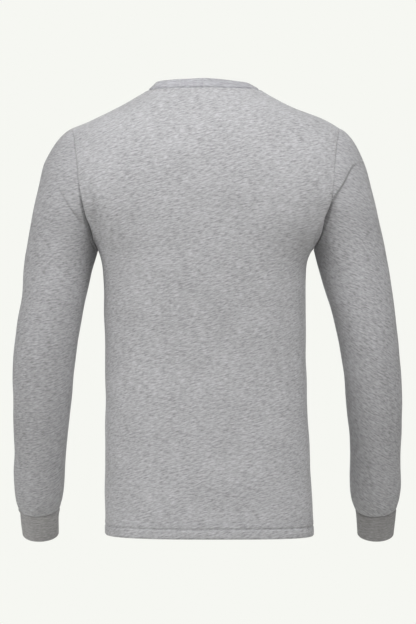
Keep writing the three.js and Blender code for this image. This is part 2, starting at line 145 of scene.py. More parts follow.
yokeFront = table(
    "way drop depth outward fade lift",
    (0, 254, 114, 2.8, 2.8, 1),
    (0.25, 222, 114.5, 2.8, 1.9, 1),
    (0.5, 190, 113.5, 2.7, 1.35, 1),
    (0.75, 160, 110, 2.6, 1.12, 1),
    (1, 132, 103, 2.4, 1.1, 0.95),
    (1.25, 117, 99.5, 2.35, 1.5, 0.82),
    (1.5, 104, 95, 2.3, 1.9, 0.7),
    (2, 81, 86, 2.3, 2.3, 0.62),
)
shoulderSeam = table(
    "out left right forward",
    (90, -1, -2, 8),
    (102, 7, 6.3, 8),
    (116, 16, 14.9, 8),
    (140, 28, 26.4, 8),
    (178, 45, 41.2, 8),
    (196, 52.6, 48.5, 8),
    (214, 59.5, 59.5, 8),
)
armholes = table(
    "drop outBack back outFront front",
    (59.5, 214, -8, 214, -8),
    (61, 213.7, 4, 213.5, -20),
    (67, 212.5, 17, 211, -31),
    (84, 209, 38, 205, -47),
    (115, 204.5, 63, 197, -66),
    (147, 201, 77, 192, -74),
    (177, 197, 80, 189, -75),
    (208, 190.5, 69, 185, -65),
    (234, 182, 44, 179, -42),
    (254, 172, 0, 172, 0),
)
sleeveRings = table(
    "drop outLeft outRight back wideLeft wideRight deep",
    (290, 237.5, 238, 3, 54, 54, 60),
    (341, 245.2, 249, 6, 50.6, 50.6, 57),
    (418, 257.4, 262.5, 4, 49.8, 46.5, 53),
    (494, 262.6, 269.5, -9, 46.6, 44.8, 49),
    (573, 267.4, 273, -32, 42.2, 41, 44.5),
    (635, 270.4, 274.4, -54, 40.6, 41.3, 42.5),
    (658, 271.2, 275.9, -63, 37.6, 38.4, 40),
    (673, 270.4, 276.6, -69, 32.6, 33.1, 34),
)
cuffRings = table(
    "drop outLeft outRight back wideLeft wideRight deep",
    (673, 270.4, 276.6, -69, 32.6, 33.1, 34),
    (684, 270.6, 276.7, -73.6, 31.2, 32.1, 32.6),
    (700, 270.6, 276.7, -80.5, 30.2, 30.7, 31.2),
    (716, 270.6, 276.7, -87.5, 29.4, 29.7, 30),
)

# Shares of a length where points lie. Pieces that meet use the same ones, and they crowd
# together where the folds are and where a seam is rolled under. seamSteps are distances from
# a seam, and about says roughly how long each run of points is.
seamSteps = np.array([0, 0.7, 1.5, 2.5, 4, 6.5])
about = dict(half=260, shoulder=140, cap=240, tube=383, cuff=46)
halfShares = np.r_[
    np.linspace(0, 0.68, 38, endpoint=False),
    np.linspace(0.68, 1 - 9 / about["half"], 30),
    1 - seamSteps[::-1] / about["half"],
]
armShares = np.linspace(0, 1, 98)
shoulderShares = np.r_[
    np.linspace(0, 1 - 12 / about["shoulder"], 36),
    1 - seamSteps[::-1] / about["shoulder"],
]


def halfRows(middle, end, outward, fade, lift, shares):
    # quarter ovals in plan from the middle of a panel out to its end:
    # out = sin^(2/outward), depth kept = cos^(2/fade), and the end lies higher by a power of 1 - out^2
    angle = closeSteps * np.pi / 2
    out = np.sin(angle) ** (2 / outward[:, None])
    kept = np.cos(angle) ** (2 / fade[:, None])
    x = middle[:, :1] + (end[:, :1] - middle[:, :1]) * out
    y = end[:, 1:2] + (middle[:, 1:2] - end[:, 1:2]) * kept
    z = end[:, 2:] + (middle[:, 2:] - end[:, 2:]) * np.clip(1 - out * out, 0, 1) ** lift[:, None]
    return spaced(np.stack([x, y, z], axis=-1), shares)


def levelRows(drops, face, hand):
    # level rows below the underarm, ending at a side seam
    size = {name: read(bodySections, "drop", name, drops) for name in bodySections if name != "drop"}
    middle = stack((size["left"] - size["right"]) / 2, face * size["back" if face > 0 else "front"], -drops)
    end = stack(size["left"] if hand > 0 else -size["right"], 0, -drops)
    roundness = size["roundLeft" if hand > 0 else "roundRight"]
    return middle, end, roundness, roundness, np.ones_like(drops)


def armholeLine(face, hand, shares):
    # from the underarm up to the tip of the shoulder
    names = ("outBack", "back") if face > 0 else ("outFront", "front")
    drop = shirt["underarmDrop"] + (armholes["drop"][0] - shirt["underarmDrop"]) * closeSteps
    out, back = (read(armholes, "drop", name, drop) for name in names)
    line = stack(hand * out, back, -drop)
    return spaced(line[None], shares)[0]


def shoulderLine(hand, shares):
    # from the tip of the shoulder to the neckband
    first, last = shoulderSeam["out"][0], shoulderSeam["out"][-1]
    out = last + closeSteps * (first - last)
    drop = read(shoulderSeam, "out", "left" if hand > 0 else "right", out)
    forward = read(shoulderSeam, "out", "forward", out)
    line = stack(hand * out + shirt["neckShift"] * closeSteps, -forward, -drop)
    return spaced(line[None], shares)[0]


def yokeRows(face, hand):
    # rows from the underarm to the neckline, ending on the armhole and then on the shoulder seam
    sizes = yokeBack if face > 0 else yokeFront
    end = np.concatenate([armholeLine(face, hand, armShares), shoulderLine(hand, shoulderShares)[1:]])
    way = np.r_[armShares, 1 + shoulderShares[1:]]
    foot = levelRows(np.array([shirt["underarmDrop"]], float), face, hand)[0][0, 0]
    middle = stack(
        foot + (shirt["neckShift"] - foot) * way / 2,
        face * read(sizes, "way", "depth", way),
        -read(sizes, "way", "drop", way),
    )
    return middle, end, *(read(sizes, "way", name, way) for name in ("outward", "fade", "lift"))


# how far over the hem's edge its rows lie, close together in the stitching
hemRows = np.array(
    [0, 0.6, 1.4, 3, 6, 9.5, 13, 15, 16, 16.5, 17, 17.5, 18, 19.5, 21.2, 22.3, 23, 23.7, 25, 27, 30]
)


def bodyDrops():
    # rows from the hem up to the underarm: the hem's, then every 4 mm, then every 2.5 mm
    edge = shirt["hemDrop"]
    plain, close = np.linspace(edge - 34, 332, 84), np.linspace(329.5, shirt["underarmDrop"], 32)
    return np.r_[edge - hemRows, plain, close]


def panelForm(face):
    # a whole body panel: rows from the hem to the neckline, columns from the wearer's right to left
    halves = []
    for hand in (-1, 1):
        lower = levelRows(bodyDrops(), face, hand)
        upper = yokeRows(face, hand)
        rows = [np.concatenate([a[:-1], b]) for a, b in zip(lower, upper)]
        halves.append(halfRows(*rows, halfShares))
    grid = np.concatenate([halves[0][:, :0:-1], halves[1]], axis=1)
    return relaxed(grid, passes=40)


def relaxed(grid, passes):
    # evens out small kinks between rows: each inner point moves halfway to the mean of its
    # neighbours above and below, while the columns beside the seams stay where they are
    column = np.arange(grid.shape[1])
    hold = smooth(np.minimum(column, column[::-1]), 1, 9)[None, :, None]
    for _ in range(passes):
        mean = grid[1:-1] / 2 + (grid[:-2] + grid[2:]) / 4
        grid[1:-1] += hold * (mean - grid[1:-1])
    return grid


def turns():
    # round a sleeve, from its outer side over the back to the body side and the front
    back = (1 - armShares[::-1]) * np.pi
    return np.r_[back[:-1], np.pi + armShares[:-1] * np.pi]


def rings(sizes, hand, drops):
    # ovals square to the arm's middle line: middle + out * wide * cos + back * deep * sin
    side = "Left" if hand > 0 else "Right"
    ends = sizes["drop"][0], sizes["drop"][-1]

    def middle(at):
        # the point on the arm's middle line at each drop
        return stack(hand * read(sizes, "drop", "out" + side, at), read(sizes, "drop", "back", at), -at)

    aside = 4  # how far over and under a ring the middle line's direction is taken
    down = unit(middle(np.clip(drops + aside, *ends)) - middle(np.clip(drops - aside, *ends)))
    back = unit(np.array([0, 1, 0]) - down * down[:, 1:2])
    out = np.cross(back, down) * -hand
    out *= np.sign(out[:, :1]) * hand
    wide, deep = (read(sizes, "drop", name, drops)[:, None, None] for name in ("wide" + side, "deep"))
    angle = turns()[None, :, None]
    return middle(drops)[:, None] + out[:, None] * wide * np.cos(angle) + back[:, None] * deep * np.sin(angle)


# how the lines of a sleeve's cap leave the armhole and reach the first ring
cap = dict(
    left=dict(keepUnderarm=0.9, keepTip=0.76, join=0.88),
    right=dict(keepUnderarm=0.9, keepTip=0.58, join=1.1),
    underarm=(0.25, 0.95),
    tip=(0.9, 0.4),
    outBetween=0.25,
)
capShares = np.r_[seamSteps[:-1] / about["cap"], np.linspace(seamSteps[-1] / about["cap"], 1, 92)]
tubeShares = np.r_[np.linspace(0, 1 - 9 / about["tube"], 112), 1 - seamSteps[::-1] / about["tube"]]


def sleeveForm(hand):
    # from the armhole to the cuff seam: cubics from the armhole to the first ring, then rings
    back, front = armholeLine(1, hand, armShares)[::-1], armholeLine(-1, hand, armShares)
    armhole = np.concatenate([back[:-1], front[:-1]])
    first, last = sleeveRings["drop"][0], sleeveRings["drop"][-1]
    onward = 10  # how far below the first ring its direction is taken
    biceps, following = rings(sleeveRings, hand, np.array([first, first + onward]))
    angle = turns()
    top = (1 + np.cos(angle)) / 2
    chord = np.linalg.norm(biceps - armhole, axis=1, keepdims=True)
    low, high, reach = cap["underarm"], cap["tip"], cap["left" if hand > 0 else "right"]
    out = low[0] + (high[0] - low[0]) * top + cap["outBetween"] * np.abs(np.sin(angle))
    leave = stack(hand * out, 0, -low[1] - (high[1] - low[1]) * top)
    keep = reach["keepUnderarm"] + (reach["keepTip"] - reach["keepUnderarm"]) * top
    leave *= chord * keep[:, None] / np.linalg.norm(leave, axis=1, keepdims=True)
    arrive = following - biceps
    arrive *= chord * reach["join"] / np.linalg.norm(arrive, axis=1, keepdims=True)
    crown = cubic(armhole[None], biceps[None], leave[None], arrive[None], capShares[:, None, None], 1)
    tube = rings(sleeveRings, hand, first + (last - first) * tubeShares)
    return np.concatenate([crown[:-1], tube])


# the neckband's width, how far it leans inwards at each side, and how much that lowers it
bandLean = dict(width=18.5, back=0.57, front=0.3, left=0.78, right=1.05, settle=0.35)


def toRim(length, count, roundFrom):
    # shares from a seam to a rim that is rounded over its last millimetre or two
    plain = np.linspace(seamSteps[-1] / length, 1 - roundFrom / length, count)
    return np.r_[seamSteps[:-1] / length, plain, 1 - 0.7 / length, 1]


cuffShares = toRim(about["cuff"], 20, 1.6)
bandShares = toRim(bandLean["width"], 8, 1.8)


def cuffForm(hand):
    # from the sleeve's last ring down to the wrist
    first, last = cuffRings["drop"][0], cuffRings["drop"][-1]
    form = rings(cuffRings, hand, first + (last - first) * cuffShares)
    form[0] = rings(sleeveRings, hand, sleeveRings["drop"][-1:])[0]
    return form


def neckbandForm(back, front):
    # from the neckline inwards and up; the ring starts at the middle of the back
    middle = back.shape[1] // 2
    seam = np.concatenate([back[-1, middle:-1], front[-1, :0:-1], back[-1, :middle]])
    inward = np.array([shirt["neckShift"], -shoulderSeam["forward"][0], 0]) - seam
    inward[:, 2] = 0
    inward = unit(inward)
    side = np.abs(inward[:, 0])
    atSide = np.where(inward[:, 0] < 0, bandLean["left"], bandLean["right"])
    toBack = bandLean["back"] + (atSide - bandLean["back"]) * side**2
    toFront = bandLean["front"] + (atSide - bandLean["front"]) * side**3
    share = np.where(inward[:, 1] < 0, toBack, toFront)[:, None]
    lean = unit(inward * share + np.array([0, 0, 1]) * (1 - bandLean["settle"] * share))
    return seam[None] + lean[None] * bandShares[:, None, None] * bandLean["width"]


def around(grid, closed):
    # the same grid with its neighbours before and after on each row
    if closed:
        return np.roll(grid, 1, axis=1), np.roll(grid, -1, axis=1)
    low = np.concatenate([grid[:, :1], grid[:, :-1]], axis=1)
    return low, np.concatenate([grid[:, 1:], grid[:, -1:]], axis=1)


def normalsOf(grid, closed, outward):
    # the cross product of the step up and the step across at each point
    up = np.concatenate([grid[1:], grid[-1:]]) - np.concatenate([grid[:1], grid[:-1]])
    before, after = around(grid, closed)
    return unit(np.cross(up, after - before) * outward)


def makeSheet(name, grid, closed, outward, wall, middle=0):
    # a sheet with its lengths in millimetres: across from the column middle, and up from row 0
    whole = np.concatenate([grid, grid[:, :1]], axis=1) if closed else grid
    across = summed(np.linalg.norm(np.diff(whole, axis=1), axis=2), axis=1)
    rise = np.linalg.norm(np.diff(grid, axis=0), axis=2).mean(axis=1)
    return dict(
        name=name,
        grid=grid,
        closed=closed,
        outward=outward,
        wall=wall,
        across=across - across[:, middle : middle + 1],
        up=summed(rise),
        normals=normalsOf(grid, closed, outward),
    )


def clothLengths(sheet):
    # where each point lies on the flat cloth, in millimetres: the wales run up the body, or up
    # the arm, and the courses run round. Each step of the grid has its part across and its part
    # up the cloth, and the lengths are those whose differences come closest to these parts.
    grid, normals = sheet["grid"], sheet["normals"]
    if sheet["closed"]:
        # a sleeve is opened along its underarm, and its wales run along its middle line
        opened = np.r_[len(armShares) - 1 : grid.shape[1], 0 : len(armShares)]
        centre = grid.mean(axis=1)
        axis = np.concatenate([centre[:-1] - centre[1:], centre[-2:-1] - centre[-1:]])
        axis[: len(capShares)] = axis[len(capShares)]
        axis = np.broadcast_to(unit(axis)[:, None], grid.shape)
        grid, normals, axis = grid[:, opened], normals[:, opened], axis[:, opened]
    else:
        axis = np.broadcast_to(np.array([0, 0, 1.0]), grid.shape)
    sideways = np.cross(normals, axis) * sheet["outward"]
    if not sheet["closed"]:
        # where the cloth lies level, over the shoulders, its courses still run across the body
        level = 0.8
        sideways += level * np.array([1.0, 0, 0])
        sideways -= (sideways * normals).sum(axis=2, keepdims=True) * normals
    sideways = unit(sideways)
    upward = sheet["outward"] * np.cross(sideways, normals)
    frame = np.stack([sideways, upward], axis=-1)
    alongRows, alongColumns = np.diff(grid, axis=1), np.diff(grid, axis=0)
    wantRows = np.einsum("ijk,ijkm->ijm", alongRows, (frame[:, 1:] + frame[:, :-1]) / 2)
    wantColumns = np.einsum("ijk,ijkm->ijm", alongColumns, (frame[1:] + frame[:-1]) / 2)
    lengthRows = np.linalg.norm(alongRows, axis=2, keepdims=True).mean(axis=0, keepdims=True)
    lengthColumns = np.linalg.norm(alongColumns, axis=2, keepdims=True).mean(axis=1, keepdims=True)
    weightRows = np.concatenate([lengthColumns, lengthColumns[-1:]]) / lengthRows
    weightColumns = np.concatenate([lengthRows, lengthRows[:, -1:]], axis=1) / lengthColumns

    def spread(rowPart, columnPart):
        # adds each step's part to the point at its end and takes it from the one at its start
        total = np.zeros(grid.shape[:2] + (2,))
        total[:, 1:] += rowPart * weightRows
        total[:, :-1] -= rowPart * weightRows
        total[1:] += columnPart * weightColumns
        total[:-1] -= columnPart * weightColumns
        return total

    # conjugate gradients, from the plain sum along the middle column and then along the rows
    rounds = 260
    middle = grid.shape[1] // 2
    rise, run = summed(wantColumns[:, middle]), summed(wantRows, axis=1)
    place = rise[:, None] + run - run[:, middle][:, None]
    left = spread(wantRows - np.diff(place, axis=1), wantColumns - np.diff(place, axis=0))
    way, size = left.copy(), (left**2).sum(axis=(0, 1))
    for _ in range(rounds):
        pull = spread(np.diff(way, axis=1), np.diff(way, axis=0))
        step = size / (way * pull).sum(axis=(0, 1))
        place += step * way
        left -= step * pull
        before, size = size, (left**2).sum(axis=(0, 1))
        way = left + size / before * way
    if sheet["closed"]:
        place -= place[len(capShares), middle]
    return place


def gathered(sheets, key):
    # the points, or the normals, of all the sheets in one list
    return np.concatenate([sheet[key].reshape(-1, 3) for sheet in sheets])


def dealt(sheets, values):
    # values for all the points, given out again to each sheet in the shape of its grid
    start = 0
    for sheet in sheets:
        shape = sheet["grid"].shape[:2]
        length = shape[0] * shape[1]
        yield sheet, values[start : start + length].reshape(shape + values.shape[1:])
        start += length


def joinNormals(sheets):
    # where sheets share a point they share its normal too: the sum of their own, where back and
    # front together count as one, made a little longer where they meet at an angle
    mostStretch, fineness = 1.7, 20  # points alike to a twentieth of a millimetre are shared
    points, normals = gathered(sheets, "grid"), gathered(sheets, "normals")
    panel = np.concatenate([np.full(sheet["grid"].size // 3, not sheet["closed"]) for sheet in sheets])
    _, which = np.unique(np.round(points * fineness), axis=0, return_inverse=True)
    which = which.reshape(-1)
    panels, rings = (np.bincount(which[own], minlength=which.max() + 1) for own in (panel, ~panel))
    total = np.zeros((len(panels), 3))
    np.add.at(total, which, normals / np.where(panel, panels[which], 1)[:, None])
    count = rings + np.minimum(panels, 1)
    size = np.linalg.norm(total, axis=1)
    total *= (np.minimum(count / size, mostStretch) / size)[:, None]
    for sheet, shared in dealt(sheets, total[which]):
        sheet["normals"] = shared


def raised(sheets, height):
    # moves every sheet out along its normals by a height worked out for all their points
    for sheet, part in dealt(sheets, height):
        sheet["grid"] = sheet["grid"] + sheet["normals"] * part[..., None]


# for each side, the direction across and the direction towards whoever looks from there
views = {
    "back": ((1, 0, 0), (0, 1, 0)),
    "front": ((1, 0, 0), (0, -1, 0)),
    "left": ((0, 1, 0), (1, 0, 0)),
    "right": ((0, 1, 0), (-1, 0, 0)),
}
# what counts as the cloth at a place: how far it faces the side, and how much farther off
# and deeper than the nearest it may be; fade is how fast its share falls with distance
nearest = dict(facing=0.05, farther=3, deeper=12, fade=2)
linePoints = 160


def foldLine(points, normals, seen, places):
    # each place is (across, drop) as seen from that side; the nearest cloth facing that side
    # is found there, and a smooth line is run through what is found
    sideways, toward = (np.array(axis, float) for axis in views[seen])
    facing = normals @ toward > nearest["facing"]
    flat = np.stack([points @ sideways, -points[:, 2]], axis=1)
    knots, facings = [], []
    for place in places:
        gap = np.linalg.norm(flat - np.array(place, float), axis=1)
        gap[~facing] = np.inf
        near = np.flatnonzero(gap < gap.min() + nearest["farther"])
        height = points[near] @ toward
        top = near[height > height.max() - nearest["deeper"]]
        weight = np.exp(-gap[top] / nearest["fade"])
        knots.append((points[top] * weight[:, None]).sum(axis=0) / weight.sum())
        total = (normals[top] * weight[:, None]).sum(axis=0)
        facings.append(unit(total))
    names = "x y z facingX facingY facingZ".split()
    columns = dict(zip(names, np.hstack([knots, facings]).T), row=np.arange(len(knots), dtype=float))
    at = np.linspace(0, columns["row"][-1], linePoints)
    run = stack(*(read(columns, "row", name, at) for name in names))
    return run[:, :3], unit(run[:, 3:])


def foldHeights(points, normals, folds):
    # the height of each point over the plain form: for each fold,
    # (-depth * (1 - lip * q) * exp(-q) + step * side * tanh(d / sharp) * exp(-d / reach)) * ends,
    # with d the distance from its line, q = (d / width)^2, reach the width, or apron times it
    # on the low side of a step, and ends rising from 0 to 1 and back
    height = np.zeros(len(points))
    for shape in folds:
        line, facings = foldLine(points, normals, shape["seen"], shape["places"])
        # past 3.2 times its width hardly anything is left of a fold
        margin = 3.2 * shape["width"] * max(1, shape["flare"]) * max(1, shape["apron"])
        inside = ((points > line.min(axis=0) - margin) & (points < line.max(axis=0) + margin)).all(axis=1)
        near = np.flatnonzero(inside)
        gaps = points[near][:, None] - line[None]
        i = (gaps**2).sum(axis=2).argmin(axis=1)
        gap = gaps[np.arange(len(near)), i]
        along = np.gradient(line, axis=0)
        pace = np.linalg.norm(along, axis=1, keepdims=True)
        along /= pace
        past = (gap * along[i]).sum(axis=1)
        t = np.clip((i + past / pace[i, 0]) / (len(line) - 1), 0, 1)
        square = gap - past[:, None] * along[i]
        d = np.linalg.norm(square, axis=1)
        side = np.sign((np.cross(facings[i], along[i]) * square).sum(axis=1))
        width = shape["width"] * (1 + (shape["flare"] - 1) * t)
        q = (d / width) ** 2
        skew = np.log(0.5) / np.log(shape["peak"])
        ends = np.sin(np.pi * t**skew) ** (1 / shape["blunt"])
        same = smooth((facings[i] * normals[near]).sum(axis=1), -0.1, 0.5)  # not the other layer
        profile = -shape["depth"] * (1 - shape["lip"] * q) * np.exp(-q)
        step = shape["step"] * side
        reach = width * np.where(step < 0, shape["apron"], 1)
        profile += step * np.tanh(d / shape["sharp"]) * np.exp(-d / reach)
        height[near] += profile * ends * same
    return height


backGrid, frontGrid = panelForm(1), panelForm(-1)
half = len(halfShares) - 1
jerseyWall, ribWall = 1.5, 2.4
sheets = [
    makeSheet("back", backGrid, False, 1, jerseyWall, half),
    makeSheet("front", frontGrid, False, -1, jerseyWall, half),
    makeSheet("sleeve_left", sleeveForm(1), True, 1, jerseyWall),
    makeSheet("sleeve_right", sleeveForm(-1), True, -1, jerseyWall),
    makeSheet("cuff_left", cuffForm(1), True, 1, ribWall),
    makeSheet("cuff_right", cuffForm(-1), True, -1, ribWall),
    makeSheet("neckband", neckbandForm(backGrid, frontGrid), True, 1, ribWall),
]
for sheet in sheets[:4]:
    sheet["cloth"] = clothLengths(sheet)
joinNormals(sheets)
for sheet in sheets:
    rows, columns = sheet["grid"].shape[:2]
    print(f"sheet {sheet['name']}: {rows} rows of {columns} points")

# Folds: the side each is seen from, its depth and width in millimetres, and the places on its
# line, (across, drop). depth below 0 is a ridge; lip is how much the cloth rises beside a
# trough; step is how far one side stands over the other, sharp how soon, and apron how much
# further the low side reaches; flare is the width at the end against that at the start; peak
# is where along the line it is fullest, and blunt how evenly full it is between its ends.
plainFold = dict(lip=0.5, step=0, sharp=1.5, apron=1, flare=1, peak=0.5, blunt=1)


def fold(seen, depth, width, *places, **more):
    # a fold, with plain settings for what isn't given
    return dict(plainFold, seen=seen, depth=depth, width=width, places=places, **more)


folds = [
    # the outer side of each sleeve, drawn in below the shoulder
    fold("left", 3.2, 34, (-6, 118), (0, 185), (6, 262), lip=0),
    fold("right", 2, 30, (-6, 122), (0, 185), (6, 250), lip=0),
    # at the back, under the wearer's left arm
    fold("back", 7, 17, (190, 146), (182, 206), (171, 252), lip=0, peak=0.66, blunt=1.3),
    fold("back", 1.9, 2.8, (190, 208), (184, 232), (174, 260), lip=0.1, peak=0.6, blunt=1.6),
    fold("back", 4.6, 8, (182, 158), (176, 200), (166, 248), lip=0.3, peak=0.62, blunt=1.6),
    fold("back", -1.3, 5, (187, 175), (184, 196), (181, 222), lip=0),
    fold("back", 1.2, 6, (160, 186), (158, 210), (155, 240), lip=0.3),
    fold(
        "back", 1.6, 4.5, (240, 146), (228, 166), (214, 189), (201, 206), (189, 219), lip=0.4,
        step=1.7, sharp=1.3, apron=2.5, peak=0.7, blunt=1.6,
    ),
    # at the back, under the right arm
    fold(
        "back", 1.6, 5.5, (-246, 114), (-231, 126), (-215, 154), (-200, 177), (-190, 197), (-178, 224),
        (-165, 251), lip=0.2, step=-4, sharp=1.3, apron=4, flare=1.3, peak=0.66, blunt=1.8,
    ),
    fold(
        "back", 3, 4.5, (-188, 208), (-180, 228), (-172, 246), (-163, 266), lip=0.1, peak=0.6,
        blunt=1.6,
    ),
    fold("back", -1.6, 9, (-236, 108), (-222, 120), (-208, 142), (-196, 168), lip=0, peak=0.55),
    fold("back", -2.4, 9, (-165, 222), (-163, 248), (-160, 280), lip=0),
    # at the front, under each arm
    fold("front", 6.5, 15, (180, 156), (173, 204), (161, 252), lip=0, peak=0.72, blunt=1.3),
    fold("front", 2.4, 3.6, (189, 204), (183, 230), (173, 259), lip=0.1, peak=0.6, blunt=1.6),
    fold("front", 1.8, 9, (150, 186), (152, 214), (150, 252), lip=0.4),
    fold(
        "front", 2.2, 6, (236, 138), (222, 163), (207, 188), (191, 220), step=2.2, apron=2.5,
        peak=0.68, blunt=1.6,
    ),
    fold("front", 6, 14, (-178, 166), (-171, 210), (-162, 250), lip=0, peak=0.7, blunt=1.3),
    fold("front", 2.6, 4, (-188, 200), (-181, 228), (-171, 257), lip=0.1, peak=0.6, blunt=1.6),
    fold(
        "front", 2.2, 6.5, (-240, 124), (-226, 148), (-209, 180), (-190, 216), step=-2.8, apron=3,
        peak=0.66, blunt=1.7,
    ),
    fold("front", 1.6, 11, (-146, 196), (-151, 224), (-150, 256), lip=0),
    # inside each elbow
    fold("front", 2.6, 8, (220, 416), (240, 432), (266, 438), lip=0.6, peak=0.4),
    fold("front", 2.1, 7, (226, 452), (246, 462), (280, 459), lip=0.6, peak=0.45),
    fold("front", 1.3, 7, (230, 484), (248, 494), (268, 496), lip=0.5, peak=0.4),
    fold("front", 2.4, 8.5, (-226, 424), (-248, 442), (-278, 447), lip=0.6, peak=0.45),
    fold("front", 1.8, 7, (-234, 466), (-254, 475), (-280, 471), lip=0.6, peak=0.4),
    # gathers above each cuff
    fold("front", 1.3, 5, (250, 618), (253, 646), (256, 668), lip=0.6, peak=0.7),
    fold("front", 1.7, 6, (266, 600), (269, 640), (270, 668), lip=0.6, peak=0.7),
    fold("front", 1.3, 5, (284, 624), (284, 650), (283, 668), lip=0.6, peak=0.7),
    fold("front", 1.6, 5.5, (-258, 610), (-261, 644), (-264, 668), lip=0.6, peak=0.7),
    fold("front", 1.4, 5, (-275, 622), (-277, 648), (-278, 668), lip=0.6, peak=0.7),
    fold("front", 1.3, 6, (-290, 606), (-290, 642), (-288, 668), lip=0.6, peak=0.7),
    # slack down the front
    fold("front", 1.3, 10, (98, 262), (107, 340), (114, 430), (120, 500), lip=0.3, blunt=2),
    fold("front", 1.1, 9, (-124, 268), (-130, 350), (-140, 450), lip=0.3, blunt=2),
    # slack down the right of the back
    fold("back", 0.7, 9, (-92, 250), (-100, 330), (-112, 400), (-118, 470), lip=0.3, blunt=2),
    fold("back", 0.8, 8, (-122, 262), (-128, 330), (-138, 400), (-146, 500), lip=0.3, blunt=2),
    fold("back", 0.7, 6, (-146, 330), (-152, 400), (-158, 480), (-163, 560), lip=0.3, blunt=2),
]

# the long waves of the swell: the length in millimetres, the way each runs, start and height
swell = table(
    "length x y z start height",
    (96, 0.9, 0.3, 0.35, 0.4, 0.32),
    (71, -0.5, 0.4, 0.8, 2.1, 0.26),
    (58, 0.75, -0.3, -0.6, 4.4, 0.2),
    (43, 0.3, 0.6, 0.75, 1.2, 0.12),
    (37, -0.85, 0.2, 0.5, 5.3, 0.1),
)


def swellHeights(points):
    # the sum of height * sin(2 pi distance / length + start) over the waves
    way = unit(stack(swell["x"], swell["y"], swell["z"])).T
    return (swell["height"] * np.sin(2 * np.pi * points @ way / swell["length"] + swell["start"])).sum(axis=1)


def pressed(sheets, folds):
    # the folds, with the slow swell over the whole cloth
    points, normals = (gathered(sheets, key) for key in ("grid", "normals"))
    raised(sheets, foldHeights(points, unit(normals), folds) + swellHeights(points))


pressed(sheets, folds)
print("folds:", len(folds))


panels = ("back", "front")
# a rolled seam: its depth and width, how much deeper it is at the neckline, and how much
# slighter it gets between two heights up the armhole; and the swell beside it
rolled = dict(depth=1.1, width=1.6, neckline=0.9, taut=0.75, heights=(-205, -120))
swollen = dict(height=0.3, away=4.5, width=3)


def seamRoll(sheet, sides, start, end):
    # cloth rolls under at a seam and swells a little beside it: with d the distance from the
    # seam, -depth exp(-(d / width)^2) + height exp(-((d - away) / width)^2), deeper at the
    # neckline and slighter up the armhole, where the cloth is drawn taut
    rows, columns = sheet["grid"].shape[:2]
    d = np.full((rows, columns), 1e3)
    across, up = sheet["across"][:, :columns], sheet["up"][:, None]
    if sides:
        d = np.minimum(d, np.minimum(across - across[:, :1], across[:, -1:] - across))
    if start:
        d = np.minimum(d, up)
    if end:
        d = np.minimum(d, up[-1] - up)
    band = sheet["name"] == "neckband"
    neckline = up < 3 if band else (up > up[-1] - 3) & (sheet["name"] in panels)
    taut = rolled["taut"] * smooth(sheet["grid"][..., 2], *rolled["heights"]) * (not band) * ~neckline
    roll = -rolled["depth"] * (1 + rolled["neckline"] * neckline) * np.exp(-((d / rolled["width"]) ** 2))
    roll = roll + swollen["height"] * np.exp(-(((d - swollen["away"]) / swollen["width"]) ** 2))
    return roll * (1 - taut)


def rounded(d, radius):
    # how far an edge of that radius falls away at a distance d from the rim
    return -radius * (1 - np.sqrt(np.clip(1 - (1 - np.clip(d / radius, 0, 1)) ** 2, 0, 1)))


hem = dict(
    height=25,
    lines=(15.5, 21.5),  # heights of the two rows of stitches
    grooves=(1.6, 0.2),  # how deep each pulls the cloth in
    grooveWidth=1.3,
    pucker=0.3,
    puckerEvery=11,
    swell=0.25,  # of the cloth between the edge and the first row
    step=0.3,  # from the single cloth out to the double
    turned=1.1,  # what the turned-up cloth adds to the wall
    edge=1.3,  # how round the edge is
    stitch=2.5,
    pitch=3.2,
)
rimRound = 1.2  # how round the rims of the cuffs and the neckband are


def hemHeight(sheet):
    # a groove along each row of stitches, and small uneven puckers over the hem:
    # depth exp(-((d - line) / width)^2) and sin(2 pi u / every + 1.3 sin(u / 23)) sin(u / 31 + 0.7)
    d, u = sheet["up"][:, None], sheet["across"]
    groove = sum(
        deep * np.exp(-(((d - line) / hem["grooveWidth"]) ** 2))
        for line, deep in zip(hem["lines"], hem["grooves"])
    )
    swell = hem["swell"] * (smooth(d, 0, 9) * (1 - smooth(d, 11, 17.5)))
    wave = np.sin(2 * np.pi * u / hem["puckerEvery"] + 1.3 * np.sin(u / 23)) * np.sin(u / 31 + 0.7)
    fade = smooth(d, 0, 3) * (1 - smooth(d, 17, 40))
    step = (1 - smooth(d, hem["height"] - 4, hem["height"] + 2)) * hem["step"]
    return step - groove + hem["pucker"] * wave * fade + swell + rounded(d, hem["edge"])


def edgeHeights(sheet):
    # what the seams, the hem and the rims do to one sheet
    if sheet["name"] in panels:
        return seamRoll(sheet, sides=True, start=False, end=True) + hemHeight(sheet)
    if sheet["name"].startswith("sleeve"):
        return seamRoll(sheet, sides=False, start=True, end=True)
    toEdge = sheet["up"][-1] - sheet["up"][:, None]
    return seamRoll(sheet, sides=False, start=True, end=False) + rounded(toEdge, rimRound)


raised(sheets, np.concatenate([edgeHeights(sheet).reshape(-1) for sheet in sheets]))
print("seams and hem: rolled and stitched in")


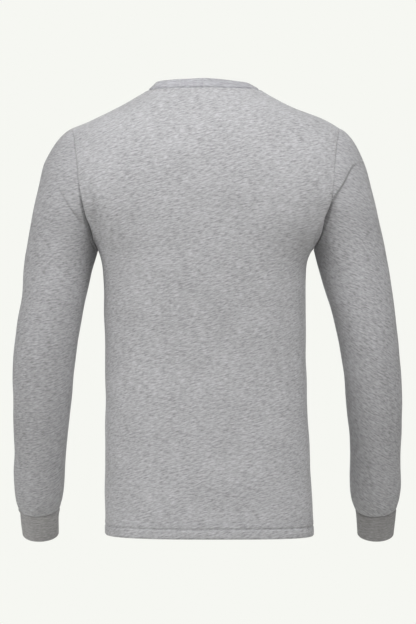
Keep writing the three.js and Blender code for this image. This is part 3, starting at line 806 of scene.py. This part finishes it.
def shell(sheet):
    # the sheet, the same sheet moved in along its normals by its wall, and rims between them
    outer, closed = sheet["grid"], sheet["closed"]
    rows, columns = outer.shape[:2]
    wall = np.full(rows, float(sheet["wall"]))
    if sheet["name"] in panels:
        wall += hem["turned"] * (1 - smooth(sheet["up"], hem["height"] - 1, hem["height"] + 1))
    inner = outer - sheet["normals"] * wall[:, None, None]
    points = np.concatenate([outer.reshape(-1, 3), inner.reshape(-1, 3)]) * mm
    index = np.arange(rows * columns).reshape(rows, columns)
    low, high = index, np.roll(index, -1, axis=1)
    if not closed:
        low, high = index[:, :-1], index[:, 1:]
    # places on the flat cloth, for the pattern
    if "cloth" in sheet:
        place = sheet["cloth"]
    else:
        place = stack(sheet["across"], sheet["up"][:, None])
    lowUv, highUv = place[:, :-1], place[:, 1:]
    if closed and "cloth" in sheet:
        turn = columns - (len(armShares) - 1)
        lowUv, highUv = np.roll(lowUv, -turn, axis=1), np.roll(highUv, -turn, axis=1)
    size = rows * columns

    def quads(*parts):
        # faces with a corner from each part
        return np.stack(parts, axis=-1).reshape(-1, 4)

    def corners(*parts):
        # and their places on the flat cloth
        return np.stack(parts, axis=-2).reshape(-1, 4, 2)

    faces = [
        quads(low[:-1], high[:-1], high[1:], low[1:]),
        quads(low[:-1] + size, low[1:] + size, high[1:] + size, high[:-1] + size),
        quads(low[:1], low[:1] + size, high[:1] + size, high[:1]),
        quads(low[-1:], high[-1:], high[-1:] + size, low[-1:] + size),
    ]
    uvs = [
        corners(lowUv[:-1], highUv[:-1], highUv[1:], lowUv[1:]),
        corners(lowUv[:-1], lowUv[1:], highUv[1:], highUv[:-1]),
        corners(lowUv[:1], lowUv[:1], highUv[:1], highUv[:1]),
        corners(lowUv[-1:], highUv[-1:], highUv[-1:], lowUv[-1:]),
    ]
    if not closed:
        first, last = index[:, 0], index[:, -1]
        faces += [
            quads(first[:-1], first[1:], first[1:] + size, first[:-1] + size),
            quads(last[:-1], last[:-1] + size, last[1:] + size, last[1:]),
        ]
        a, b = lowUv[:, 0], highUv[:, -1]
        uvs += [corners(a[:-1], a[1:], a[1:], a[:-1]), corners(b[:-1], b[:-1], b[1:], b[1:])]
    faces, uvs = np.concatenate(faces), np.concatenate(uvs) * mm
    a, b, c, d = (points[faces[:, n]] for n in range(4))
    volume = (a * (np.cross(b, c) + np.cross(c, d))).sum()
    if volume < 0:  # the faces point inwards, so they are turned
        faces, uvs = faces[:, ::-1], uvs[:, ::-1]
    return meshOf(sheet["name"] + "_cloth", points, faces, uvs)


def placed(name, data):
    # an object with this data, in the scene
    thing = bpy.data.objects.new(name, data)
    bpy.context.scene.collection.objects.link(thing)
    return thing


def meshOf(name, points, faces, uvs=None):
    # a smooth-shaded object in the scene, with its points in metres
    mesh = bpy.data.meshes.new(name)
    mesh.from_pydata(points.tolist(), [], faces.tolist())
    if uvs is not None:
        layer = mesh.uv_layers.new(name="cloth")
        layer.data.foreach_set("uv", np.ascontiguousarray(uvs, dtype=np.float32).reshape(-1))
    mesh.polygons.foreach_set("use_smooth", np.ones(len(mesh.polygons), bool))
    mesh.update()
    return placed(name, mesh)


# one stitch: where its rings stand along it, as shares of its length, and in millimetres how
# thick each ring is and how high it lies over the cloth, where it dips in at both ends
stitchForm = table(
    "share thick rise",
    (-0.5, 0.05, -0.15),
    (-0.42, 0.22, 0.1),
    (-0.2, 0.3, 0.22),
    (0.2, 0.3, 0.22),
    (0.42, 0.22, 0.1),
    (0.5, 0.05, -0.15),
)
stitchSides = 5


def stitches(sheet, line):
    # a row of stitches at a height of line on the hem: at each ring of each stitch,
    # path + out * rise + thick * (out * cos + side * sin)
    k = int(np.abs(sheet["up"] - line).argmin())
    path, normal = sheet["grid"][k], sheet["normals"][k]
    run = sheet["across"][k] - sheet["across"][k, 0]
    count = int(run[-1] / hem["pitch"])
    centre = (np.arange(count) + 0.5) * run[-1] / count
    at = centre[:, None] + stitchForm["share"] * hem["stitch"]
    place, out = (
        np.stack([np.interp(at, run, values[:, axis]) for axis in range(3)], axis=-1)
        for values in (path, normal)
    )
    out = unit(out)
    along = unit(place[:, -1:] - place[:, :1])
    side = np.cross(out, np.broadcast_to(along, out.shape))
    angle = np.arange(stitchSides) * 2 * np.pi / stitchSides
    ring = np.cos(angle)[:, None] * out[:, :, None] + np.sin(angle)[:, None] * side[:, :, None]
    rise, thick = (stitchForm[name][:, None, None] for name in ("rise", "thick"))
    points = place[:, :, None] + out[:, :, None] * rise + ring * thick
    index = np.arange(points.size // 3).reshape(points.shape[:3])
    turned = np.roll(index, -1, axis=2)
    faces = np.stack([index[:, :-1], turned[:, :-1], turned[:, 1:], index[:, 1:]], axis=-1)
    return points.reshape(-1, 3) * mm, faces.reshape(-1, 4)


def stitching(sheet):
    # both rows of stitches on a panel's hem, in one object
    (points, faces), (morePoints, moreFaces) = (stitches(sheet, line) for line in hem["lines"])
    faces = np.concatenate([faces, moreFaces + len(points)])
    return meshOf(sheet["name"] + "_hem_stitches", np.concatenate([points, morePoints]), faces)


def linear(colour):
    # an sRGB hex colour as linear red, green, blue and 1
    parts = [int(colour[i : i + 2], 16) / 255 for i in (1, 3, 5)]
    return [c / 12.92 if c <= 0.04045 else ((c + 0.055) / 1.055) ** 2.4 for c in parts] + [1]


def addNode(tree, kind, inputs=None, **settings):
    # a node of a kind, its own settings, and its inputs by name or number: a value, or what
    # is linked to it, an output or a node whose first output it is
    node = tree.nodes.new(kind)
    for name, value in settings.items():
        setattr(node, name, value)
    for slot, value in (inputs or {}).items():
        if isinstance(value, bpy.types.Node):
            value = value.outputs[0]
        if isinstance(value, bpy.types.NodeSocket):
            tree.links.new(value, node.inputs[slot])
        else:
            node.inputs[slot].default_value = value
    return node


def emptyMaterial(name):
    # a new material and its empty node tree
    material = bpy.data.materials.new(name)
    material.use_nodes = True
    material.node_tree.nodes.clear()
    return material, material.node_tree


def knitMaterial(name, look):
    # Heathered cotton knit. The yarn is spun from light and dark fibres, so the cloth is
    # a fine grey mix with short streaks along the courses. It is matt, with a little nap.
    material, tree = emptyMaterial(name)
    math = "ShaderNodeMath"
    cloth = addNode(tree, "ShaderNodeUVMap", uv_map="cloth").outputs["UV"]
    # the mix of light and dark is 1/2 and the sum of share * (noise - 1/2), where each noise
    # has cells of a size (across, up) in millimetres, turned by some degrees
    mixed, streaks = 0.5 - 0.5 * sum(part["share"] for part in look["mix"]), []
    for part in look["mix"]:
        across, up = part["size"]
        slant = {"Vector": cloth, "Angle": np.radians(part["slant"])}
        turned = addNode(tree, "ShaderNodeVectorRotate", slant, rotation_type="Z_AXIS")
        cells = {"Scale": (1 / (across * mm), 1 / (up * mm), 1), "Location": (part["seed"], 0, 0)}
        scaled = addNode(tree, "ShaderNodeMapping", {"Vector": turned, **cells})
        grain = {"Vector": scaled, "Scale": 1, "Detail": 1, "Roughness": 0.6}
        noise = addNode(tree, "ShaderNodeTexNoise", grain, noise_dimensions="2D")
        total = {0: noise, 1: part["share"], 2: mixed}
        mixed = addNode(tree, math, total, operation="MULTIPLY_ADD")
        streaks.append(noise)
    parts = addNode(tree, "ShaderNodeSeparateXYZ", {0: cloth}).outputs
    wale = addNode(tree, math, {0: parts["X"], 1: 1 / (look["wale"] * mm)}, operation="MULTIPLY")
    if look["rib"]:
        # raised ribs with valleys between: 1/2 + 1/2 cos(2 pi wale)
        angle = addNode(tree, math, {0: wale, 1: 2 * np.pi}, operation="MULTIPLY")
        swing = addNode(tree, math, {0: angle}, operation="COSINE")
        height = addNode(tree, math, {0: swing, 1: 0.5, 2: 0.5}, operation="MULTIPLY_ADD")
        # painted shade and light: the colour swings with the ribs, darker in their valleys and lighter on
        # their tops
        mixed = addNode(tree, math, {0: swing, 1: look["rib"], 2: mixed}, operation="MULTIPLY_ADD")
    else:
        # each wale is a column of small Vs: lean + 1/2 sin(2 pi (course + lean)), with lean
        # the distance from the wale's middle
        part = addNode(tree, math, {0: wale}, operation="FRACT")
        middle = addNode(tree, math, {0: part, 1: 0.5}, operation="SUBTRACT")
        lean = addNode(tree, math, {0: middle}, operation="ABSOLUTE")
        rising = {0: parts["Y"], 1: 1 / (look["course"] * mm), 2: lean}
        course = addNode(tree, math, rising, operation="MULTIPLY_ADD")
        angle = addNode(tree, math, {0: course, 1: 2 * np.pi}, operation="MULTIPLY")
        swing = addNode(tree, math, {0: angle}, operation="SINE")
        height = addNode(tree, math, {0: swing, 1: 0.5, 2: lean}, operation="MULTIPLY_ADD")
    shades = {0: mixed, 6: linear(look["dark"]), 7: linear(look["light"])}
    shade = addNode(tree, "ShaderNodeMix", shades, data_type="RGBA").outputs[2]
    loops = {"Height": height, "Strength": look["knit"], "Distance": look["relief"] * mm}
    knit = addNode(tree, "ShaderNodeBump", loops)
    # the long streaks stand out a little too, because yarn is uneven
    yarn = {"Height": streaks[0], "Normal": knit, "Strength": look["uneven"], "Distance": 0.6 * mm}
    uneven = addNode(tree, "ShaderNodeBump", yarn)
    matt = {"Roughness": 0.92, "Specular IOR Level": 0.15}
    nap = {"Sheen Weight": look["nap"], "Sheen Roughness": 0.6}
    cover = {"Base Color": shade, "Normal": uneven, **matt, **nap}
    surface = addNode(tree, "ShaderNodeBsdfPrincipled", cover)
    addNode(tree, "ShaderNodeOutputMaterial", {"Surface": surface})
    return material


def heather(slant, contrast=1.0):
    # the parts of the heather: long streaks and short flecks (drawn coarser than real, to
    # show), and slow patches
    return [
        dict(size=(12, 2.3), slant=slant, share=1.18 * contrast, seed=3),
        dict(size=(5.5, 1.7), slant=slant, share=0.98 * contrast, seed=11),
        dict(size=(70, 45), slant=0, share=0.29, seed=23),
    ]


jerseyLook = dict(
    dark="#8b8b8c",
    light="#bfbfc2",
    mix=heather(14),
    wale=0.9,  # wales and courses in millimetres, drawn a little coarser than real, to show
    course=0.75,
    rib=0,
    knit=0.35,
    relief=0.25,
    uneven=0.25,
    nap=0.15,
)
# the sleeves are the body's jersey with darker shades: painted shade, for the less light that falls on them;
# their streaks slant more
leftSleevePaintedShadeLook = dict(jerseyLook, dark="#868687", light="#b5b5b8", mix=heather(17, 1.1))
rightSleevePaintedShadeLook = dict(leftSleevePaintedShadeLook, mix=heather(32, 1.1))
cuffLook = dict(jerseyLook, dark="#7e7d7d", light="#a7a6a6", mix=heather(0, 0.9))
# rib is how far the colour swings with the ribs: painted shade in their valleys, painted light on their tops
cuffLook.update(wale=2.4, rib=0.1, knit=0.3, relief=0.4)  # its wales are ribs
# the right cuff is the same rib as the left, made darker: painted shade, for the less light that falls on it
rightCuffPaintedShadeLook = dict(cuffLook, dark="#777676", light="#9d9c9c")
neckLook = dict(cuffLook, dark="#8a8a8d", light="#b7b7bc", rib=0.06)

jersey = knitMaterial("heather_single_jersey", jerseyLook)
# the sleeves' copies of the jersey, darker with painted shade
leftJerseyPaintedShade = knitMaterial("heather_single_jersey_left_sleeve_painted_shade", leftSleevePaintedShadeLook)
rightJerseyPaintedShade = knitMaterial("heather_single_jersey_right_sleeve_painted_shade", rightSleevePaintedShadeLook)
cuffRib = knitMaterial("heather_cuff_rib_knit", cuffLook)
# the right cuff's copy of the rib, darker with painted shade
rightCuffRibPaintedShade = knitMaterial("heather_cuff_rib_knit_right_cuff_painted_shade", rightCuffPaintedShadeLook)
neckRib = knitMaterial("heather_neck_rib_knit", neckLook)


def threadMaterial(dark, light):
    # Spun polyester sewing thread, dyed to match: smoother than the cloth, with a soft gloss.
    material, tree = emptyMaterial("matched_sewing_thread")
    place = addNode(tree, "ShaderNodeTexCoord").outputs["Object"]
    twist = addNode(tree, "ShaderNodeTexNoise", {"Vector": place, "Scale": 1 / (1.2 * mm), "Detail": 1})
    shades = {0: twist, 6: linear(dark), 7: linear(light)}
    shade = addNode(tree, "ShaderNodeMix", shades, data_type="RGBA").outputs[2]
    surface = addNode(tree, "ShaderNodeBsdfPrincipled", {"Base Color": shade, "Roughness": 0.6})
    addNode(tree, "ShaderNodeOutputMaterial", {"Surface": surface})
    return material


thread = threadMaterial("#98989b", "#b0b0b4")
print("materials:", len(bpy.data.materials))

nodes = {
    "sleeve_left": ("sleeve_left_upper", "sleeve_left_lower"),
    "sleeve_right": ("sleeve_right_upper", "sleeve_right_lower"),
}
# each piece's material and slot, the size it is cut to in metres, and its flat area in square
# metres where that isn't its width times its length
cuts = {
    "back": (jersey, "jersey", (0.53, 0.76), 0.33),
    "front": (jersey, "jersey", (0.53, 0.70), 0.305),
    "sleeve_left": (leftJerseyPaintedShade, "jersey", (0.40, 0.62), 0.174),
    "sleeve_right": (rightJerseyPaintedShade, "jersey", (0.40, 0.62), 0.171),
    "cuff_left": (cuffRib, "cuff_rib", (0.21, 0.047), None),
    "cuff_right": (rightCuffRibPaintedShade, "cuff_rib", (0.21, 0.047), None),
    "neckband": (neckRib, "neck_rib", (0.54, 0.0185), None),
}
for sheet in sheets:
    name = sheet["name"]
    material, slot, flat, area = cuts[name]
    piece = shell(sheet)
    piece.data.materials.append(material)
    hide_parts(*nodes.get(name, (name,)))
    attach(piece, "root")
    if name in panels:
        seam = stitching(sheet)
        seam.data.materials.append(thread)
        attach(seam, "root")
    print(f"piece {name}: {len(piece.data.polygons) * 2} triangles")

# the camera stands four metres behind the wearer, level with the middle of the back
camera = placed("camera", bpy.data.cameras.new("camera"))
camera.location = (-0.0032, 4.0, -0.354)
camera.rotation_euler = (np.pi / 2, 0, np.pi)
camera.data.lens = 144.23
camera.data.clip_end = 60
bpy.context.scene.camera = camera


def softBox(name, place, size, power):
    # a rectangular area light that faces the middle of the shirt
    lamp = bpy.data.lights.new(name, "AREA")
    lamp.shape = "RECTANGLE"
    lamp.size, lamp.size_y = size
    lamp.energy = power
    light = placed(name, lamp)
    light.location = place
    light.rotation_euler = (Vector(lighting["aim"]) - Vector(place)).to_track_quat("-Z", "Y").to_euler()


# soft boxes: where each stands, its width and height in metres, and its power in watts
softBoxes = {
    "overhead": ((0, 1.3, 1.9), (2.0, 1.6), 57),
    "right": ((-2.2, 2.4, 1.9), (1.6, 1.6), 41),
    "behind_camera": ((0, 4.6, 0.4), (1.6, 1.6), 26),
    "low_left": ((2.6, 1.0, -0.3), (1.6, 1.6), 25),
    "front": ((0, -4.2, 0.3), (3.2, 2.4), 190),
}
# where they aim, and how strong the soft glow is from straight above and from below
lighting = dict(aim=(0, 0, -0.32), sky=0.03, ground=0.56, glow="#fffdfa", paper="#f6f7f2")
for name, box in softBoxes.items():
    softBox(name, *box)

# the glow lights the shirt, and the camera sees plain paper in its place
world = bpy.data.worlds.new("studio")
bpy.context.scene.world = world
world.use_nodes = True
tree = world.node_tree
tree.nodes.clear()
direction = addNode(tree, "ShaderNodeTexCoord").outputs["Generated"]
height = addNode(tree, "ShaderNodeSeparateXYZ", {0: direction}).outputs["Z"]
span = {"Value": height, "From Min": -1, "To Min": lighting["ground"], "To Max": lighting["sky"]}
strength = addNode(tree, "ShaderNodeMapRange", span)
glow = addNode(tree, "ShaderNodeBackground", {"Strength": strength, "Color": linear(lighting["glow"])})
paper = addNode(tree, "ShaderNodeBackground", {"Color": linear(lighting["paper"])})
seen = addNode(tree, "ShaderNodeLightPath").outputs["Is Camera Ray"]
both = addNode(tree, "ShaderNodeMixShader", {0: seen, 1: glow, 2: paper})
addNode(tree, "ShaderNodeOutputWorld", {"Surface": both})
bpy.context.scene.view_settings.view_transform = "Standard"
print("lights:", len(softBoxes), "soft boxes and a glow")

# the floor is a disc of rings, radius * (cos, sin), that fades out before its edge shows
floorLook = dict(height=-1.5, radii=(0.01, 0.6, 1.2, 1.8, 2.4), points=64, fade=(0.8, 2.3), colour="#eeeeea")
angle = np.arange(floorLook["points"]) * 2 * np.pi / floorLook["points"]
radii = np.array(floorLook["radii"])[:, None]
disc = stack(radii * np.cos(angle), radii * np.sin(angle), floorLook["height"])
index = np.arange(disc.size // 3).reshape(disc.shape[:2])
turned = np.roll(index, -1, axis=1)
floorFaces = np.stack([turned[:-1], turned[1:], index[1:], index[:-1]], axis=-1).reshape(-1, 4)
floor = meshOf("floor", disc.reshape(-1, 3), floorFaces)
# pale matt paper
paperFloor, tree = emptyMaterial("pale_paper_floor")
place = addNode(tree, "ShaderNodeTexCoord").outputs["Object"]
flatPlace = addNode(tree, "ShaderNodeVectorMath", {0: place, 1: (1, 1, 0)}, operation="MULTIPLY")
away = addNode(tree, "ShaderNodeVectorMath", {0: flatPlace}, operation="LENGTH").outputs["Value"]
near, far = floorLook["fade"]
fade = addNode(tree, "ShaderNodeMapRange", {"Value": away, "From Min": near, "From Max": far})
matt = addNode(tree, "ShaderNodeBsdfDiffuse", {"Color": linear(floorLook["colour"])})
clear = addNode(tree, "ShaderNodeBsdfTransparent")
surface = addNode(tree, "ShaderNodeMixShader", {0: fade, 1: matt, 2: clear})
addNode(tree, "ShaderNodeOutputMaterial", {"Surface": surface})
floor.data.materials.append(paperFloor)
